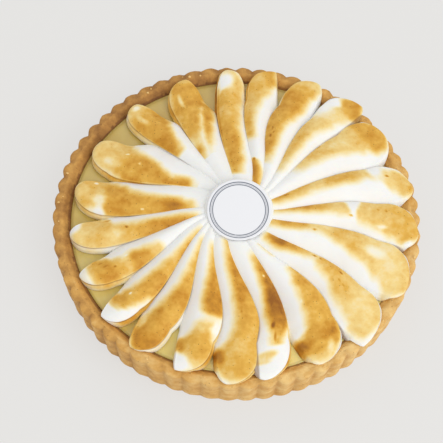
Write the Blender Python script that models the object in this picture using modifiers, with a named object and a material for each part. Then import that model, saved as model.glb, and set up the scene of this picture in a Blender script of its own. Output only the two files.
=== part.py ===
"""A lemon pie, uncut: a fluted crust, lemon curd, and a wheel of piped meringue with a round plaque on top.

Metres, +Z up. The origin is the middle of the crust's underside, and -Y is the side that faces the viewer.
"""

import math
from typing import NamedTuple

import bmesh
import bpy
from mathutils import Matrix, Vector

MM = 0.001
GAP = 0.3

# Crust, in millimetres
RIM_RADIUS = 115.0
CRUST_HEIGHT = 27.0
WALL_TAPER = math.radians(6.0)
FLUTES = 62
FLUTE_STEPS = 5
FLUTE_DEPTH = 2.0
FLUTE_PHASE = math.radians(3.2)
RIM_ROUNDING = 1.6
CROWN_WIDTH = 4.6
FLOOR_THICKNESS = 5.0
FLOOR_RADIUS = 101.0
RIM_UNEVENNESS = 0.35

# Curd
CURD_LEVEL = 22.5
CURD_RADIUS = 103.3
CURD_SEGMENTS = 124

# Meringue
START_RADIUS = 12.0
INNER_STATION = 30.0
MIDDLE_STATION = 60.0
OUTER_STATION = 88.0
CREST_TOP = 38.0
CREST_FALL = 5.5
CREST_FALL_RADIUS = 92.0
RELIEF_INNER = 2.2
RELIEF_OUTER = 7.5
FOOT_BULGE = 1.0
BELLY_BULGE = 1.8
END_LENGTH = 4.0
END_LEVEL = 0.5
POLE_RISE = 0.55
SUNKEN_FOOT = 20.0
TUCK = 2.5
PARTING_START = 70.0
PARTING_LENGTH = 20.0
LIP_CLOSING = 20.0
EDGE_CLOSING = 13.0
FLAT_START = 82.0
FLAT_LENGTH = 22.0
FLAT_SHARE = 0.65
STATION_CROWDING = 1.6
STROKE_SIDES = 10
STROKE_STATIONS = 14
CORE_SEGMENTS = 60

# The core under the strokes: radius and height over the curd, from its edge to the middle
CORE_STEPS = ((77.0, 3.5), (58.0, 7.0), (36.0, 10.5), (0.0, 12.5))
CORE_FOOT_RADIUS = 80.0

# Plaque
PLAQUE_RADIUS = 19.8
PLAQUE_THICKNESS = 2.0
PLAQUE_CENTRE = (0.8, -2.6, 40.6)
PLAQUE_TILT = math.radians(12.0)
PLAQUE_SEGMENTS = 64
PLAQUE_ROUNDING = 0.5
PLAQUE_SEAT_HEIGHT = 12.0
MOUND_RADIUS = 22.0
MOUND_DEPTH = 9.0


class Stroke(NamedTuple):
    """One piped stroke. The first three angles say where its lip runs at the inner, middle and outer stations."""

    start: float
    bow: float
    edge: float
    tip: float
    reach: float
    span: float


# Degrees anticlockwise from +X, with the reach in millimetres, in clockwise order
STROKES = (
    Stroke(101, 103, 101, 96.0, 110.5, 12),
    Stroke(74, 87, 88, 79.5, 112.5, 13),
    Stroke(61, 75, 74, 65.0, 114.5, 15),
    Stroke(49, 59, 59, 48.5, 117.0, 17),
    Stroke(40, 46, 46, 36.0, 113.5, 23),
    Stroke(25, 28, 26, 13.5, 113.0, 19),
    Stroke(5.5, 10.5, 9, -3.5, 113.0, 21),
    Stroke(-11, -6, -8, -23.5, 114.0, 24),
    Stroke(-35, -28, -30, -46.5, 115.5, 21),
    Stroke(-57, -45, -47.5, -60.0, 111.5, 19),
    Stroke(-69, -64, -67.5, -78.5, 111.5, 16),
    Stroke(-96, -79, -80, -90.0, 113.5, 17),
    Stroke(-117, -97, -97, -106.5, 111.0, 14),
    Stroke(-132, -115, -114.5, -122.0, 110.5, 13.5),
    Stroke(-142, -130, -129, -136.0, 108.0, 12.5),
    Stroke(-155, -145, -145, -152.5, 105.5, 12.5),
    Stroke(-163, -160, -161, -169.0, 104.5, 14),
    Stroke(-178, -175, -177, -187.5, 103.5, 16.5),
    Stroke(-209, -197, -197, -206.0, 103.5, 17),
    Stroke(-229, -223, -221, -228.0, 105.5, 13.5),
    Stroke(-238, -238, -239, -248.5, 107.5, 15),
)


class Spot(NamedTuple):
    """A point of a stroke's cross-section: its share of the width from the lip, and its place in height."""

    across: float
    bulge: float
    rise: float
    drop: float


# From the foot under the lip, over the domed top and down the long slope to the clockwise foot.
# rise counts up from the curd to the crest, and drop is a share of the relief taken off again.
SECTION = (
    Spot(0.00, FOOT_BULGE, 0.0, 0.0),
    Spot(0.00, BELLY_BULGE, 0.45, 0.25),
    Spot(0.00, 0.0, 0.94, 0.50),
    Spot(0.13, 0.0, 1.0, 0.22),
    Spot(0.36, 0.0, 1.0, 0.0),
    Spot(0.60, 0.0, 1.0, 0.18),
    Spot(0.80, 0.0, 1.0, 0.57),
    Spot(0.96, 0.0, 1.0, 0.98),
    Spot(1.00, 0.0, 0.22, 0.0),
    Spot(0.97, 0.0, 0.0, 0.0),
)


def clear_scene():
    """Remove what the scene holds."""
    for obj in list(bpy.data.objects):
        bpy.data.objects.remove(obj, do_unlink=True)
    for collection in list(bpy.data.collections):
        bpy.data.collections.remove(collection)


def new_collection(name):
    """Return a new collection, linked to the scene."""
    collection = bpy.data.collections.new(name)
    bpy.context.scene.collection.children.link(collection)
    return collection


def new_material(name, colour, roughness, metallic=0.0):
    """Return a Principled material with the given values."""
    material = bpy.data.materials.new(name)
    material.use_nodes = True
    shader = material.node_tree.nodes["Principled BSDF"]
    shader.inputs["Base Color"].default_value = (*colour, 1.0)
    shader.inputs["Roughness"].default_value = roughness
    shader.inputs["Metallic"].default_value = metallic
    return material


def new_object(name, mesh, collection, material=None):
    """Return a new object holding the mesh, linked to the collection."""
    obj = bpy.data.objects.new(name, mesh)
    collection.objects.link(obj)
    if material:
        mesh.materials.append(material)
    return obj


def mesh_from(bm, name):
    """Scale a millimetre bmesh to metres, turn its faces outwards and return it as a mesh."""
    bmesh.ops.scale(bm, vec=(MM, MM, MM), verts=bm.verts)
    bmesh.ops.recalc_face_normals(bm, faces=bm.faces)
    mesh = bpy.data.meshes.new(name)
    bm.to_mesh(mesh)
    bm.free()
    return mesh


def turned(profile, segments):
    """Return a bmesh turned about Z from a profile of (radius, height) points that starts and ends on the axis."""
    bm = bmesh.new()
    points = [bm.verts.new((radius, 0.0, height)) for radius, height in profile]
    edges = [bm.edges.new(pair) for pair in zip(points, points[1:])]
    bmesh.ops.spin(
        bm,
        geom=points + edges,
        cent=(0, 0, 0),
        axis=(0, 0, 1),
        angle=math.tau,
        steps=segments,
        use_merge=True,
    )
    bmesh.ops.remove_doubles(bm, verts=bm.verts, dist=0.001)
    return bm


def smooth(obj, degrees=40.0):
    """Shade the object smooth, with its corners kept sharp."""
    obj.data.shade_smooth()
    obj.data.set_sharp_from_angle(angle=math.radians(degrees))


def ease(value):
    """Return the value held between 0 and 1 and eased at both ends."""
    value = min(max(value, 0.0), 1.0)
    return value * value * (3.0 - 2.0 * value)


def mix(first, second, share):
    """Return the value that lies the given share of the way from the first to the second."""
    return first + (second - first) * share


def crust_profile(gap=0.0):
    """Return the rim's inner corner points, from the crown down to the curd, grown by the gap."""
    crown_inner = RIM_RADIUS - RIM_ROUNDING - CROWN_WIDTH
    return (crown_inner - gap, CRUST_HEIGHT + gap), (CURD_RADIUS - gap, CURD_LEVEL)


def flute_offset(angle, height):
    """Return how far the wall is drawn in at this angle: round crests, narrow valleys, each a little different."""
    turn = angle - FLUTE_PHASE
    wave = abs(math.cos(0.5 * FLUTES * turn))
    unevenness = 1.0 + 0.22 * math.sin(5.0 * angle + 1.0) + 0.16 * math.sin(13.0 * angle)
    return FLUTE_DEPTH * unevenness * (1.0 - wave) * mix(0.8, 1.0, height / CRUST_HEIGHT)


def build_crust(collection):
    """Build the fluted crust: its floor, its tapered wall and its rounded rim, baked in one piece."""
    base_radius = RIM_RADIUS - CRUST_HEIGHT * math.tan(WALL_TAPER)
    inner_crown, curd_line = crust_profile()
    profile = [
        (0.0, 0.0),
        (base_radius, 0.0),
        (RIM_RADIUS, CRUST_HEIGHT - RIM_ROUNDING),
        (RIM_RADIUS - RIM_ROUNDING, CRUST_HEIGHT),
        inner_crown,
        curd_line,
        (FLOOR_RADIUS, FLOOR_THICKNESS),
        (0.0, FLOOR_THICKNESS),
    ]
    bm = turned(profile, FLUTES * FLUTE_STEPS)
    turn_to_crest = Matrix.Rotation(FLUTE_PHASE, 3, "Z")
    bmesh.ops.rotate(bm, cent=(0, 0, 0), matrix=turn_to_crest, verts=bm.verts)
    outer_limit = 0.5 * (inner_crown[0] + RIM_RADIUS)
    for vert in bm.verts:
        radius = math.hypot(vert.co.x, vert.co.y)
        angle = math.atan2(vert.co.y, vert.co.x)
        if radius > outer_limit:
            pull = flute_offset(angle, vert.co.z)
            vert.co.x -= pull * math.cos(angle)
            vert.co.y -= pull * math.sin(angle)
        if vert.co.z > CRUST_HEIGHT - 0.1:
            vert.co.z -= RIM_UNEVENNESS * (1.0 + math.sin(3.0 * angle) * math.cos(5.0 * angle + 2.0))
    material = new_material("baked_crust", (0.60, 0.33, 0.12), 0.75)
    crust = new_object("crust", mesh_from(bm, "crust"), collection, material)
    smooth(crust, 50.0)


def build_curd(collection):
    """Build the lemon curd, which fills the crust from its floor to its level line."""
    wall_gap = GAP + 0.1
    profile = [
        (0.0, FLOOR_THICKNESS + GAP),
        (FLOOR_RADIUS - wall_gap, FLOOR_THICKNESS + GAP),
        (CURD_RADIUS - wall_gap, CURD_LEVEL),
        (0.0, CURD_LEVEL),
    ]
    material = new_material("lemon_curd", (0.72, 0.60, 0.22), 0.35)
    curd = new_object("lemon_curd", mesh_from(turned(profile, CURD_SEGMENTS), "lemon_curd"), collection, material)
    smooth(curd)


def crest_height(radius):
    """Return the height of the strokes' crests at this radius."""
    return CREST_TOP - CREST_FALL * (radius / CREST_FALL_RADIUS) ** 2


def relief(radius):
    """Return how far a stroke's long slope falls from its crest."""
    share = ease((radius - START_RADIUS) / (OUTER_STATION - START_RADIUS))
    flat = FLAT_SHARE * ease((radius - FLAT_START) / FLAT_LENGTH)
    return mix(RELIEF_INNER, RELIEF_OUTER, share) * (1.0 - flat)


def lip_angle(stroke, radius):
    """Return the angle of the stroke's lip: a parabola through its three stations, and straight on past them."""
    if radius > OUTER_STATION:
        return mix(stroke.bow, stroke.edge, (radius - MIDDLE_STATION) / (OUTER_STATION - MIDDLE_STATION))
    first_slope = (stroke.bow - stroke.start) / (MIDDLE_STATION - INNER_STATION)
    second_slope = (stroke.edge - stroke.bow) / (OUTER_STATION - MIDDLE_STATION)
    bend = (second_slope - first_slope) / (OUTER_STATION - INNER_STATION)
    past_inner = radius - INNER_STATION
    return stroke.start + first_slope * past_inner + bend * past_inner * (radius - MIDDLE_STATION)


def openness(left, closing):
    """Return how far a side still stands off the tip, with this length left of its round end."""
    past = min(max(1.0 - left / closing, 0.0), 1.0)
    return math.sqrt(1.0 - past * past)


def edges_at(stroke, following, radius):
    """Return the angles of the stroke's lip and of its clockwise edge at this radius."""
    lip = lip_angle(stroke, radius)
    tuck = math.degrees(TUCK / radius)
    shared_edge = lip_angle(following, radius) - tuck
    free_edge = lip - stroke.span * OUTER_STATION / radius
    edge = mix(shared_edge, free_edge, ease((radius - PARTING_START) / PARTING_LENGTH))
    lip_open = openness(stroke.reach - radius, LIP_CLOSING)
    edge_open = openness(stroke.reach - radius, EDGE_CLOSING)
    return mix(stroke.tip, lip, lip_open), mix(stroke.tip, edge, edge_open)


def stroke_point(stroke, following, along, side):
    """Return a point of the stroke's skin: along runs from its start to its tip, side round its section."""
    radius = mix(START_RADIUS, stroke.reach, 1.0 - (1.0 - along) ** STATION_CROWDING)
    lip, edge = edges_at(stroke, following, radius)
    spot = SECTION[side]
    past_end = max((radius - (stroke.reach - END_LENGTH)) / END_LENGTH, 0.0)
    end_share = mix(END_LEVEL, 1.0, math.sqrt(max(1.0 - past_end * past_end, 0.0)))
    full_height = crest_height(radius) - SUNKEN_FOOT
    rise = (full_height * spot.rise - relief(radius) * spot.drop) * end_share
    angle = math.radians(mix(lip, edge, spot.across))
    bulge_share = min(1.0, (stroke.reach - radius) / END_LENGTH)
    angle += spot.bulge * bulge_share / radius
    return Vector((radius * math.cos(angle), radius * math.sin(angle), SUNKEN_FOOT + max(rise, 0.0)))


def build_stroke(stroke, following):
    """Return a stroke as a bmesh, wrapped round a sphere whose poles are its start and its tip."""
    bm = bmesh.new()
    bmesh.ops.create_uvsphere(bm, u_segments=STROKE_SIDES, v_segments=STROKE_STATIONS, radius=1.0)
    for vert in bm.verts:
        along = math.acos(min(max(vert.co.z, -1.0), 1.0)) / math.pi
        side = round(math.atan2(vert.co.y, vert.co.x) / math.tau * STROKE_SIDES) % STROKE_SIDES
        at_pole = along < 0.001 or along > 0.999
        if at_pole:
            radius = START_RADIUS if along < 0.5 else stroke.reach
            lip, edge = edges_at(stroke, following, radius)
            angle = math.radians(0.5 * (lip + edge))
            height = mix(SUNKEN_FOOT, crest_height(radius), POLE_RISE)
            vert.co = (radius * math.cos(angle), radius * math.sin(angle), height)
        else:
            vert.co = stroke_point(stroke, following, along, side)
    bmesh.ops.triangulate(bm, faces=bm.faces)
    return bm


def core_profile():
    """Return the profile of the meringue that lies under the strokes and joins them."""
    foot = SUNKEN_FOOT - 1.0
    steps = [(radius, CURD_LEVEL + rise) for radius, rise in CORE_STEPS]
    return [(0.0, foot), (CORE_FOOT_RADIUS, foot), *steps]


def plaque_matrix(offset):
    """Return the place of a disc that lies in the plaque's plane, moved along its axis by the offset."""
    centre = Matrix.Translation([value * MM for value in PLAQUE_CENTRE])
    tilt = Matrix.Rotation(PLAQUE_TILT, 4, "X")
    return centre @ tilt @ Matrix.Translation((0.0, 0.0, offset * MM))


def mound_profile():
    """Return the profile of the low mound under the plaque, in the plaque's own plane."""
    top = -PLAQUE_THICKNESS + 1.0
    return [
        (0.0, top - MOUND_DEPTH),
        (MOUND_RADIUS, top - MOUND_DEPTH),
        (MOUND_RADIUS - 0.2, top - 3.6),
        (MOUND_RADIUS - 0.7, top - 1.8),
        (PLAQUE_RADIUS + 0.6, top - 0.6),
        (0.0, top),
    ]


def room_profile():
    """Return the profile of the room that the curd and the crust's rim need under the meringue."""
    inner_crown, curd_line = crust_profile(GAP)
    outside = RIM_RADIUS + 5.0
    below = SUNKEN_FOOT - 5.0
    return [
        (0.0, below),
        (outside, below),
        (outside, CRUST_HEIGHT + GAP),
        inner_crown,
        (curd_line[0], CURD_LEVEL + GAP),
        (0.0, CURD_LEVEL + GAP),
    ]


def disc(radius, thickness, segments):
    """Return a flat disc as a bmesh, its top face in the plane of Z = 0."""
    bm = bmesh.new()
    bmesh.ops.create_cone(
        bm, cap_ends=True, segments=segments, radius1=radius, radius2=radius, depth=thickness
    )
    bmesh.ops.translate(bm, vec=(0, 0, -0.5 * thickness), verts=bm.verts)
    return bm


def helper(name, bm, collection, matrix=None):
    """Add a shape that only takes part in a Boolean, kept out of the render."""
    obj = new_object(name, mesh_from(bm, name), collection)
    obj.hide_render = True
    obj.display_type = "WIRE"
    if matrix:
        obj.data.transform(matrix)
    return obj


def apply_boolean(obj, operation, collection):
    """Join a collection to the object, or cut it away, and make the result the object's own mesh."""
    modifier = obj.modifiers.new(operation.title(), "BOOLEAN")
    modifier.operation = operation
    modifier.operand_type = "COLLECTION"
    modifier.collection = collection
    modifier.solver = "MANIFOLD"
    bpy.context.view_layer.update()
    graph = bpy.context.evaluated_depsgraph_get()
    result = bpy.data.meshes.new_from_object(obj.evaluated_get(graph))
    obj.modifiers.clear()
    obj.data = result
    for operand in list(collection.objects):
        bpy.data.objects.remove(operand, do_unlink=True)
    bpy.data.collections.remove(collection)


def connected(face):
    """Return the faces of the skin that holds this one, found across edges that join just two faces."""
    skin = {face}
    waiting = [face]
    while waiting:
        for edge in waiting.pop().edges:
            if len(edge.link_faces) > 2:
                continue
            for neighbour in edge.link_faces:
                if neighbour not in skin:
                    skin.add(neighbour)
                    waiting.append(neighbour)
    return skin


def keep_outer_skin(obj):
    """Drop the scraps and fill the sealed hollows that a Boolean leaves."""
    bm = bmesh.new()
    bm.from_mesh(obj.data)
    left = set(bm.faces)
    skins = []
    while left:
        skin = connected(next(iter(left)))
        skins.append(skin)
        left -= skin
    skins.sort(key=len)
    for scrap in skins[:-1]:
        bmesh.ops.delete(bm, geom=list(scrap), context="FACES")
    bm.to_mesh(obj.data)
    bm.free()


def build_meringue(collection):
    """Build the meringue: a core, the strokes and the plaque's mound joined in one solid, clear of the rest."""
    material = new_material("toasted_meringue", (0.86, 0.72, 0.46), 0.6)
    core = turned(core_profile(), CORE_SEGMENTS)
    meringue = new_object("meringue", mesh_from(core, "meringue"), collection, material)
    joined = new_collection("strokes_to_join")
    for index, stroke in enumerate(STROKES):
        following = STROKES[(index + 1) % len(STROKES)]
        if following.start > stroke.start:
            turned_back = {name: getattr(following, name) - 360.0 for name in ("start", "bow", "edge", "tip")}
            following = following._replace(**turned_back)
        helper(f"stroke_{index + 1:02d}", build_stroke(stroke, following), joined)
    helper("mound", turned(mound_profile(), CORE_SEGMENTS), joined, plaque_matrix(0.0))
    apply_boolean(meringue, "UNION", joined)
    cut = new_collection("room_to_cut")
    helper("pie_room", turned(room_profile(), CURD_SEGMENTS), cut)
    seat = disc(PLAQUE_RADIUS + GAP, PLAQUE_THICKNESS + GAP + PLAQUE_SEAT_HEIGHT, PLAQUE_SEGMENTS)
    helper("plaque_room", seat, cut, plaque_matrix(PLAQUE_SEAT_HEIGHT))
    apply_boolean(meringue, "DIFFERENCE", cut)
    keep_outer_skin(meringue)
    smooth(meringue, 50.0)


def build_plaque(collection):
    """Build the plaque, a thin disc that lies tilted on the mound."""
    bm = disc(PLAQUE_RADIUS, PLAQUE_THICKNESS, PLAQUE_SEGMENTS)
    material = new_material("plaque", (0.86, 0.86, 0.87), 0.45)
    plaque = new_object("plaque", mesh_from(bm, "plaque"), collection, material)
    plaque.matrix_world = plaque_matrix(0.0)
    bevel = plaque.modifiers.new("Rounding", "BEVEL")
    bevel.width = PLAQUE_ROUNDING * MM
    bevel.segments = 2
    smooth(plaque)


def main():
    """Build the pie, piece by piece."""
    clear_scene()
    pie = new_collection("lemon_pie")
    build_crust(pie)
    build_curd(pie)
    build_meringue(pie)
    build_plaque(pie)


main()
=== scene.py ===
"""The looks of a whole lemon pie: fluted crust, glossy curd, torched meringue strokes and a round plaque.

Metres, +Z up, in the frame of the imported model. Sizes in the classes are millimetres, as a baker gives them.
"""

import logging
import math
import random
from dataclasses import dataclass, field
from enum import Enum
from typing import Iterable, NamedTuple, Sequence

import bmesh
import bpy
from mathutils import Matrix, Vector, noise


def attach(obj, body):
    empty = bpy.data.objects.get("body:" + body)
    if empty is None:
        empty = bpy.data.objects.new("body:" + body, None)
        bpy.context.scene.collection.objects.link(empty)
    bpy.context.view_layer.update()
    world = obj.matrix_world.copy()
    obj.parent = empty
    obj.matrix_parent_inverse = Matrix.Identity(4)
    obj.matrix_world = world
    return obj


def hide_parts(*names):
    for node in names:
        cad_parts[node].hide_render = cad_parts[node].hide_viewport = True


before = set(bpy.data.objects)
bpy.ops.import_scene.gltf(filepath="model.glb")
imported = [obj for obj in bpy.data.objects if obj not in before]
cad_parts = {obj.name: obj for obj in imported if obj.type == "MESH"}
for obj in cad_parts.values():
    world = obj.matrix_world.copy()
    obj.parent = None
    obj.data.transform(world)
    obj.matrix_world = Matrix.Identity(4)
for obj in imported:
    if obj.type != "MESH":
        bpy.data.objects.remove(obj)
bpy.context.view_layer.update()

LOG = logging.getLogger("lemon_pie")
BODY = "root"
MM = 0.001
SAME_POINT = 0.0005

# Sizes that more than one piece needs, in millimetres, and the side that looks away from the key light
CURD_RADIUS = 103.3
CURD_LEVEL = 22.5
DARK_SIDE = math.radians(130.0)

Colour = tuple[float, float, float]
Outline = Sequence[tuple[float, float]]


def held(value: float, low: float = 0.0, high: float = 1.0) -> float:
    """Return the value held between two limits."""
    return min(max(value, low), high)


def ease(value: float) -> float:
    """Return the value held between 0 and 1 and eased at both ends."""
    value = held(value)
    return value * value * (3.0 - 2.0 * value)


def mix(first: float, second: float, share: float) -> float:
    """Return the value that lies the given share of the way from the first to the second."""
    return first + (second - first) * share


def polar(point: Vector) -> tuple[float, float]:
    """Return a point's distance from the pie's axis and its angle round it."""
    return math.hypot(point.x, point.y), math.atan2(point.y, point.x)


def around(radius: float, angle: float, height: float = 0.0) -> Vector:
    """Return the point at this distance from the axis, angle round it and height."""
    return Vector((radius * math.cos(angle), radius * math.sin(angle), height))


def in_shade(angle: float) -> float:
    """Return how far this side of the pie looks away from the key light, from 0 to 1."""
    return 0.5 + 0.5 * math.cos(angle - DARK_SIDE)


def from_screen(red: int, green: int, blue: int) -> Colour:
    """Turn a colour as seen on a screen, 0 to 255, into the linear colour that a shader takes."""

    def linear(level: int) -> float:
        share = level / 255.0
        return share / 12.92 if share <= 0.04045 else ((share + 0.055) / 1.055) ** 2.4

    return linear(red), linear(green), linear(blue)


def grain(point: Vector, size: float, seed: float = 0.0) -> float:
    """Return smooth noise between about -1 and 1 whose lumps are of the given size in millimetres."""
    return noise.noise(Vector((point.x / size + seed, point.y / size - seed, point.z / size + 0.5 * seed)))


class Slot(Enum):
    """The record's material slots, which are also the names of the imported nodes."""

    CRUST = "crust"
    CURD = "lemon_curd"
    MERINGUE = "meringue"
    PLAQUE = "plaque"


class Attribute(Enum):
    """Values that the meshes carry for their materials."""

    TOAST = "toast"
    # Painted shade: darkening in creases, at feet, along contact lines and on the side away from the key light
    PAINTED_SHADE = "painted_shade"
    # The crust's baked tone, with painted shade on the side away from the key light and in the flute valleys
    BAKE_AND_SHADE = "bake_and_shade"
    PRINT = "print"


def layer(bm: bmesh.types.BMesh, attribute: Attribute) -> bmesh.types.BMLayerItem:
    """Let the shape's points carry one more value for their material."""
    return bm.verts.layers.float.new(attribute.value)


def finish_mesh(bm: bmesh.types.BMesh, name: str, material: bpy.types.Material) -> bpy.types.Object:
    """Make a finished piece from a bmesh in millimetres.

    Args:
        bm: The shape, which is freed.
        name: The piece's name.
        material: Its finish.

    Returns:
        The object, at the origin, with its place in its mesh.
    """
    bmesh.ops.scale(bm, vec=(MM, MM, MM), verts=bm.verts)
    bmesh.ops.recalc_face_normals(bm, faces=bm.faces)
    mesh = bpy.data.meshes.new(name)
    bm.to_mesh(mesh)
    bm.free()
    mesh.shade_smooth()
    mesh.materials.append(material)
    piece = bpy.data.objects.new(name, mesh)
    bpy.context.scene.collection.objects.link(piece)
    return piece


def serve(bm: bmesh.types.BMesh, name: str, material: bpy.types.Material, slot: Slot) -> bpy.types.Object:
    """Finish a piece and put it on the pie's body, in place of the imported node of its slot.

    Args:
        bm: The shape in millimetres, which is freed.
        name: The piece's name.
        material: Its finish.
        slot: Its material slot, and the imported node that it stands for.

    Returns:
        The finished piece.
    """
    piece = finish_mesh(bm, name, material)
    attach(piece, BODY)
    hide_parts(slot.value)
    LOG.info("%s: %d faces, stands for %s", piece.name, len(piece.data.polygons), slot.value)
    return piece


def turned(profile: Outline, steps: int) -> bmesh.types.BMesh:
    """Turn a profile of (radius, height) points about Z, by wrapping a grid round it.

    Args:
        profile: The points, which start and end on the axis.
        steps: How many steps the full turn takes.

    Returns:
        The closed shape.
    """
    bm = bmesh.new()
    last = len(profile) - 1
    bmesh.ops.create_grid(bm, x_segments=steps, y_segments=last, size=1.0)
    for vert in bm.verts:
        radius, height = profile[round(0.5 * (vert.co.y + 1.0) * last)]
        vert.co = around(radius, math.pi * vert.co.x, height)
    bmesh.ops.remove_doubles(bm, verts=bm.verts, dist=SAME_POINT)
    return bm


def rounded(corners: Sequence[tuple[float, float, float]], steps: int) -> list[tuple[float, float]]:
    """Round the corners of an open outline.

    Args:
        corners: Points as (radius, height, rounding length on each side).
        steps: How many short edges make each rounding.

    Returns:
        The outline's points.
    """
    outline = []
    last = len(corners) - 1
    for index, (radius, height, length) in enumerate(corners):
        if index in (0, last) or length <= 0.0:
            outline.append((radius, height))
            continue
        here = Vector((radius, height))
        before = Vector(corners[index - 1][:2])
        after = Vector(corners[index + 1][:2])
        start = here + (before - here).normalized() * min(length, 0.5 * (before - here).length)
        end = here + (after - here).normalized() * min(length, 0.5 * (after - here).length)
        for step in range(steps + 1):
            share = step / steps
            point = start.lerp(here, share).lerp(here.lerp(end, share), share)
            outline.append((point.x, point.y))
    return outline


def divided(outline: Outline, longest: float, beyond: float = 0.0) -> list[tuple[float, float]]:
    """Split an outline's long edges.

    Args:
        outline: The outline's points.
        longest: The longest edge to leave.
        beyond: Edges that reach further in than this radius are left alone.

    Returns:
        The outline's points with the new ones between them.
    """
    points = [outline[0]]
    for (radius, height), (next_radius, next_height) in zip(outline, outline[1:]):
        length = math.hypot(next_radius - radius, next_height - height)
        count = max(1, math.ceil(length / longest)) if min(radius, next_radius) >= beyond else 1
        for step in range(1, count + 1):
            points.append((mix(radius, next_radius, step / count), mix(height, next_height, step / count)))
    return points


class Sketch:
    """A node tree under construction."""

    def __init__(self, tree: bpy.types.NodeTree) -> None:
        """Start on the given tree."""
        self.tree = tree

    def fill(self, node: bpy.types.Node, **inputs: object) -> None:
        """Link or set a node's sockets.

        Args:
            node: The node.
            inputs: Values or links, by socket name with _ for a space, or by i and a number.
        """
        for name, value in inputs.items():
            numbered = name[0] == "i" and name[1:].isdigit()
            socket = node.inputs[int(name[1:]) if numbered else name.replace("_", " ")]
            if isinstance(value, bpy.types.NodeSocket):
                self.tree.links.new(value, socket)
            elif socket.type == "RGBA":
                socket.default_value = (*value, 1.0)
            else:
                socket.default_value = value

    def add(self, kind: str, settings: dict | None = None, **inputs: object) -> bpy.types.Node:
        """Add a node.

        Args:
            kind: The node's type, without its ShaderNode prefix.
            settings: Values of the node's own properties.
            inputs: What its sockets take, as in fill.

        Returns:
            The new node.
        """
        node = self.tree.nodes.new("ShaderNode" + kind)
        for name, value in (settings or {}).items():
            setattr(node, name, value)
        self.fill(node, **inputs)
        return node

    def math(self, operation: str, *values: object, clamp: bool = False) -> bpy.types.NodeSocket:
        """Add a Math node on up to three values or links and return its output."""
        inputs = {f"i{index}": value for index, value in enumerate(values)}
        return self.add("Math", {"operation": operation, "use_clamp": clamp}, **inputs).outputs[0]

    def centred(self, value: bpy.types.NodeSocket, amount: float) -> bpy.types.NodeSocket:
        """Return how far a noise lies from its middle of one half, times an amount."""
        return self.math("MULTIPLY", self.math("SUBTRACT", value, 0.5), amount)

    def ramp(
        self, value: bpy.types.NodeSocket, stops: Sequence[tuple[float, Colour]]
    ) -> bpy.types.NodeSocket:
        """Add a Color Ramp through the given (place, colour) stops and return its colour."""
        node = self.add("ValToRGB", Fac=value)
        elements = node.color_ramp.elements
        while len(elements) < len(stops):
            elements.new(0.5)
        for element, (place, colour) in zip(elements, stops):
            element.position = place
            element.color = (*colour, 1.0)
        return node.outputs["Color"]

    def blend(self, share: object, first: object, second: object, way: str = "MIX") -> bpy.types.NodeSocket:
        """Mix two colours by a share and return the result."""
        settings = {"data_type": "RGBA", "blend_type": way}
        return self.add("Mix", settings, i0=share, i6=first, i7=second).outputs[2]

    def shaded(
        self, mask: bpy.types.NodeSocket, strength: float, colour: bpy.types.NodeSocket, shade: Colour
    ) -> bpy.types.NodeSocket:
        """Darken a colour by a shade where the mask is high, up to the given strength."""
        return self.blend(self.math("MULTIPLY", mask, strength), colour, shade, "MULTIPLY")

    def smooth_step(self, value: bpy.types.NodeSocket, low: float, high: float) -> bpy.types.NodeSocket:
        """Return a value that rises smoothly from 0 at low to 1 at high."""
        smooth = {"interpolation_type": "SMOOTHSTEP"}
        return self.add("MapRange", smooth, Value=value, From_Min=low, From_Max=high).outputs["Result"]

    def attribute(self, attribute: Attribute) -> bpy.types.NodeSocket:
        """Read one of the mesh's own values."""
        return self.add("Attribute", {"attribute_name": attribute.value}).outputs["Fac"]

    def place(self) -> bpy.types.NodeSocket:
        """Read the Object coordinates, in metres."""
        return self.add("TexCoord").outputs["Object"]

    def group(self, tree: bpy.types.NodeTree, **inputs: object) -> bpy.types.bpy_prop_collection:
        """Add a node group and return its outputs."""
        return self.add("Group", {"node_tree": tree}, **inputs).outputs


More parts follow.
